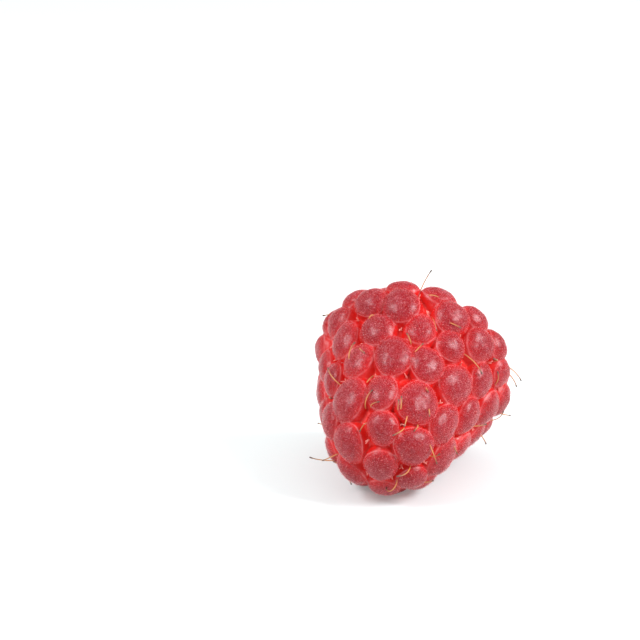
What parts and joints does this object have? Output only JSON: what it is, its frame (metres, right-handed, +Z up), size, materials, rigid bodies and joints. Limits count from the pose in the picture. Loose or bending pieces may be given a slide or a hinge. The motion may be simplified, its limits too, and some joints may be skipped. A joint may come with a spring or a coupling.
{
  "type": "raspberry",
  "caption": "Picked red raspberry lying on its side: a blunt cone of small round drupelets grown together, hollow and open at the wide end.",
  "frame": {"origin": "on the surface the fruit lies on, under the middle of its bounding box", "axes": "+Z up; +Y towards the open wide end, with the fruit's axis tipped up about 19 degrees from it; the tip points towards -Y; +X to the side"},
  "size_m": [0.0222, 0.0224, 0.0209],
  "materials": {
    "flesh": "thin soft skin over juicy crimson flesh, with a fine pale down"
  },
  "bodies": {
    "root": {"berry": "flesh"}
  },
  "joints": []
}
